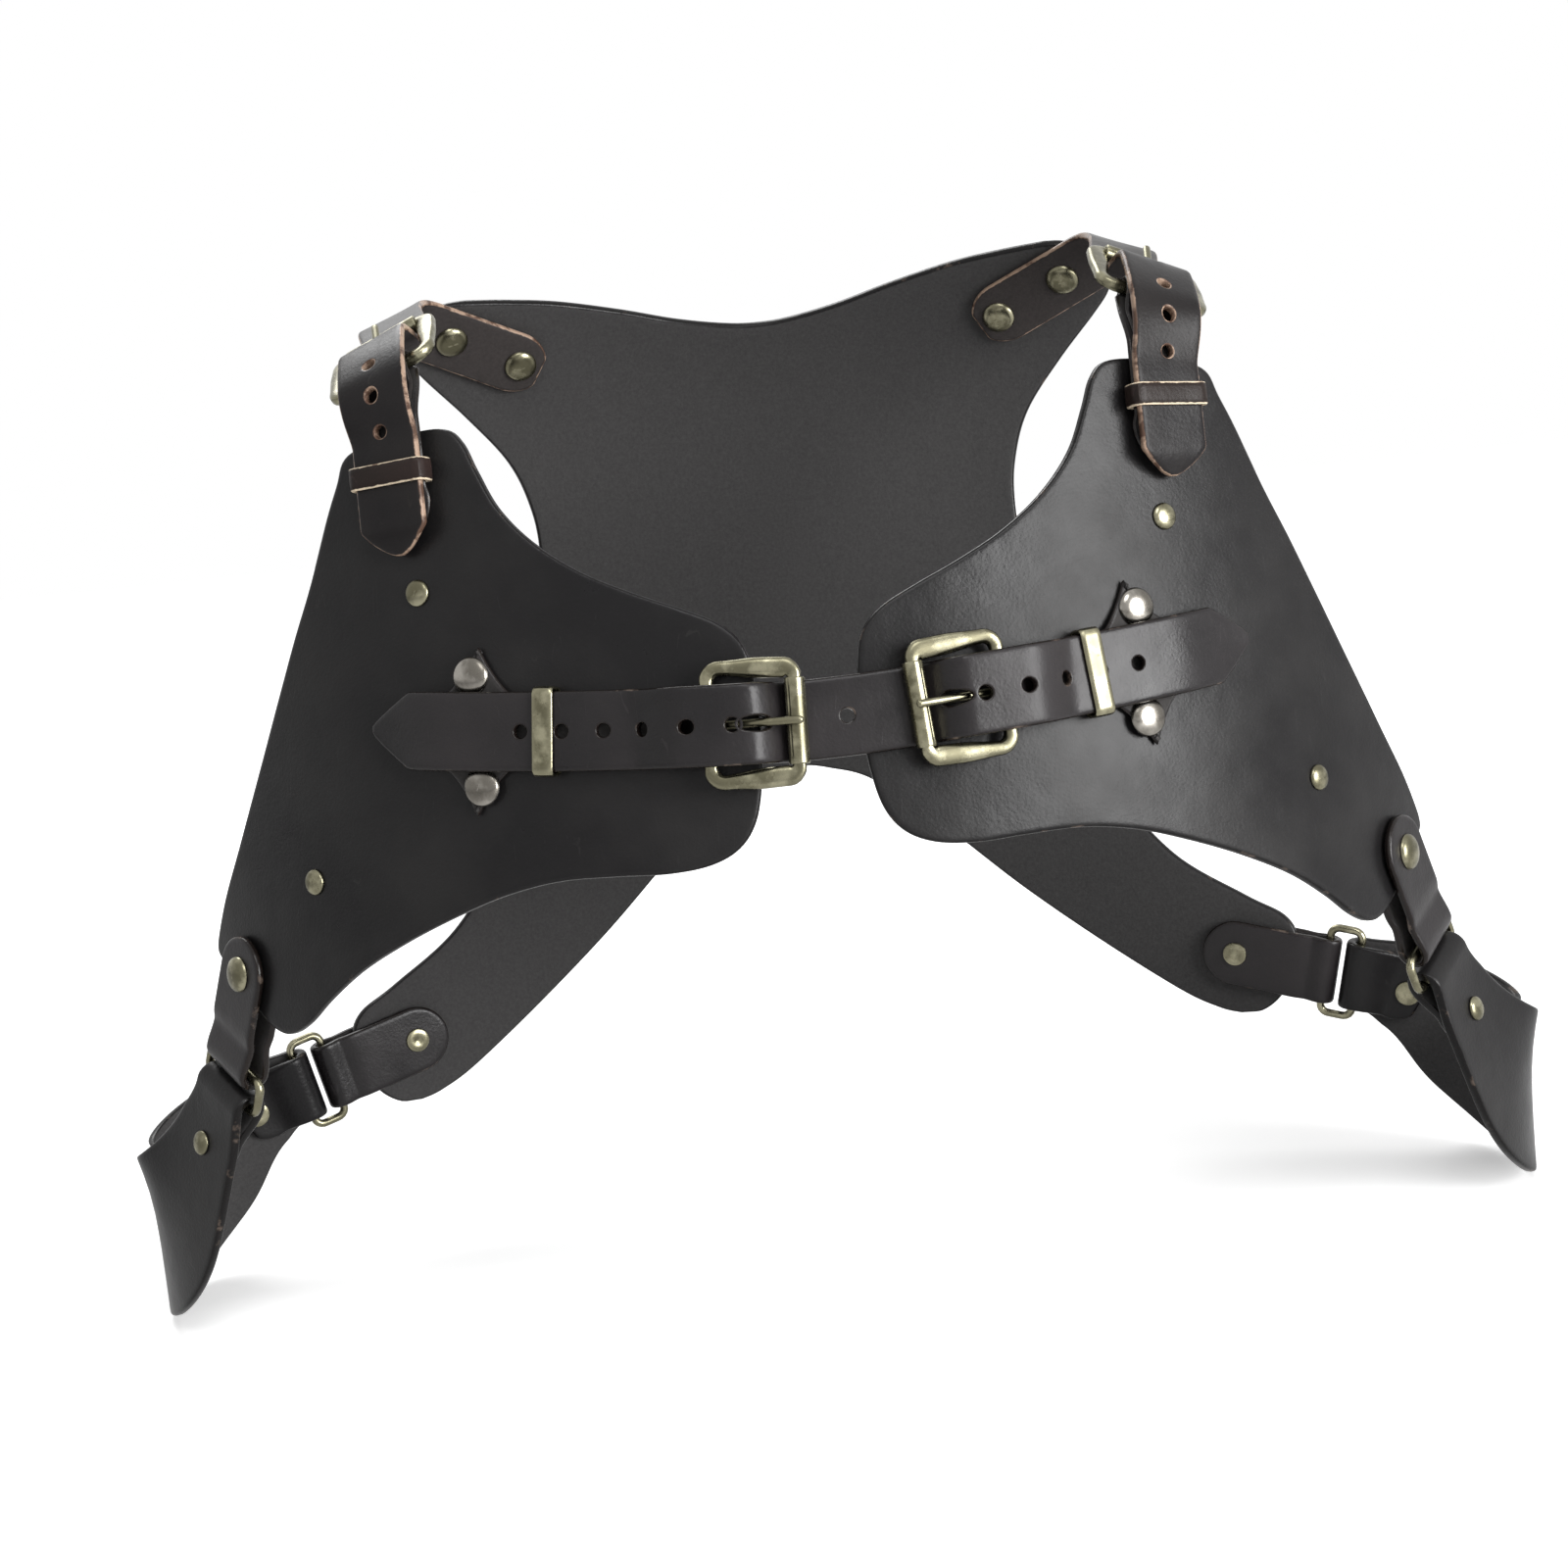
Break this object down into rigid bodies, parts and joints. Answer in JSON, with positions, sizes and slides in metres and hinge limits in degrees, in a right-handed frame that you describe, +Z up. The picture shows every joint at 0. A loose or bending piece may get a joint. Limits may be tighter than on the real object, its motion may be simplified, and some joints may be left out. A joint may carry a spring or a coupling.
{
  "type": "shoulder armour harness",
  "caption": "Open leather shoulder and chest harness with riveted panels, buckled straps over the shoulders and chest, and side pieces hung on wire rings, as worn.",
  "frame": {"origin": "on the wearer's chest surface, in the middle of the chest strap", "axes": "+X to the viewer's right as the front is looked at, +Y from the chest to the back, +Z up"},
  "size_m": [0.4998, 0.2434, 0.3468],
  "materials": {
    "black_leather": "smooth, semi-gloss, black dyed vegetable-tanned leather",
    "strap_leather": "smooth, semi-gloss, black dyed strap leather",
    "brown_leather": "matt, worn brown leather with a tan edge",
    "old_brass": "antique brass plating, satin",
    "nickel": "polished nickel rivet caps"
  },
  "bodies": {
    "harness": {"back_panel": "black_leather", "front_panel_left": "black_leather", "front_panel_right": "black_leather", "chest_strap": "strap_leather", "buckle_base_left": "strap_leather", "buckle_base_right": "strap_leather", "chest_frame_left": "old_brass", "chest_frame_right": "old_brass", "shoulder_strap_left": "strap_leather", "shoulder_strap_right": "strap_leather", "shoulder_anchor_left": "strap_leather", "shoulder_anchor_right": "strap_leather", "shoulder_frame_left": "old_brass", "shoulder_frame_right": "old_brass", "front_link_left": "strap_leather", "front_link_right": "strap_leather", "rear_link_left": "strap_leather", "rear_link_right": "strap_leather", "patch_rivets": "nickel", "panel_studs": "old_brass", "strap_rivets": "old_brass", "anchor_rivets": "old_brass", "link_rivets": "old_brass"},
    "chest_prong_left": {"chest_prong_left": "old_brass"},
    "chest_roller_left": {"chest_roller_left": "old_brass"},
    "chest_prong_right": {"chest_prong_right": "old_brass"},
    "chest_roller_right": {"chest_roller_right": "old_brass"},
    "shoulder_prong_left": {"shoulder_prong_left": "old_brass"},
    "shoulder_roller_left": {"shoulder_roller_left": "old_brass"},
    "shoulder_prong_right": {"shoulder_prong_right": "old_brass"},
    "shoulder_roller_right": {"shoulder_roller_right": "old_brass"},
    "chest_keeper_left": {"chest_keeper_left": "old_brass"},
    "chest_keeper_right": {"chest_keeper_right": "old_brass"},
    "shoulder_keeper_left": {"shoulder_keeper_left": "brown_leather"},
    "shoulder_keeper_right": {"shoulder_keeper_right": "brown_leather"},
    "flank_left": {"flank_panel_left": "black_leather", "front_ring_left": "old_brass", "rear_ring_left": "old_brass", "flank_rivets_left": "old_brass"},
    "flank_right": {"flank_panel_right": "black_leather", "front_ring_right": "old_brass", "rear_ring_right": "old_brass", "flank_rivets_right": "old_brass"}
  },
  "joints": [
    {"name": "chest_prong_lift_left", "type": "hinge", "parent": "harness", "child": "chest_prong_left", "pos_m": [-0.03004, -0.00758, 0.00218], "axis": [-0.0366, -0.1536, -0.9875], "range_deg": [0, 3]},
    {"name": "chest_roller_turn_left", "type": "hinge", "parent": "harness", "child": "chest_roller_left", "pos_m": [-0.00416, -0.00999, 0.0016], "axis": [-0.0366, -0.1536, -0.9875], "continuous": true},
    {"name": "chest_prong_lift_right", "type": "hinge", "parent": "harness", "child": "chest_prong_right", "pos_m": [0.0576, -0.00265, 0.00346], "axis": [-0.0724, 0.1432, 0.987], "range_deg": [0, 3]},
    {"name": "chest_roller_turn_right", "type": "hinge", "parent": "harness", "child": "chest_roller_right", "pos_m": [0.03216, -0.00791, 0.00236], "axis": [-0.0724, 0.1432, 0.987], "continuous": true},
    {"name": "shoulder_prong_lift_left", "type": "hinge", "parent": "harness", "child": "shoulder_prong_left", "pos_m": [-0.12088, 0.05243, 0.11546], "axis": [0.9139, -0.1381, 0.3817], "range_deg": [0, 3]},
    {"name": "shoulder_roller_turn_left", "type": "hinge", "parent": "harness", "child": "shoulder_roller_left", "pos_m": [-0.12206, 0.07583, 0.12674], "axis": [0.9139, -0.1381, 0.3817], "continuous": true},
    {"name": "shoulder_prong_lift_right", "type": "hinge", "parent": "harness", "child": "shoulder_prong_right", "pos_m": [0.12088, 0.05243, 0.11546], "axis": [0.9139, 0.1381, -0.3817], "range_deg": [0, 3]},
    {"name": "shoulder_roller_turn_right", "type": "hinge", "parent": "harness", "child": "shoulder_roller_right", "pos_m": [0.12206, 0.07583, 0.12674], "axis": [0.9139, 0.1381, -0.3817], "continuous": true},
    {"name": "chest_keeper_slide_left", "type": "slide", "parent": "harness", "child": "chest_keeper_left", "axis": [-0.9483, 0.3126, 0.0557], "range_m": [-0.008, 0.0005]},
    {"name": "chest_keeper_slide_right", "type": "slide", "parent": "harness", "child": "chest_keeper_right", "axis": [0.9384, 0.3409, 0.0563], "range_m": [-0.002, 0.0005]},
    {"name": "shoulder_keeper_slide_left", "type": "slide", "parent": "harness", "child": "shoulder_keeper_left", "axis": [0, 0.1561, 0.9877], "range_m": [-0.0004, 0.0015]},
    {"name": "shoulder_keeper_slide_right", "type": "slide", "parent": "harness", "child": "shoulder_keeper_right", "axis": [0, 0.1561, 0.9877], "range_m": [-0.0004, 0.0015]},
    {"name": "flank_swing_left", "type": "hinge", "parent": "harness", "child": "flank_left", "pos_m": [-0.19874, 0.12721, -0.12242], "axis": [0.1023, 0.9539, -0.2822], "range_deg": [-2, 2]},
    {"name": "flank_swing_right", "type": "hinge", "parent": "harness", "child": "flank_right", "pos_m": [0.19874, 0.12721, -0.12242], "axis": [0.1023, -0.9539, 0.2822], "range_deg": [-2, 2]}
  ]
}
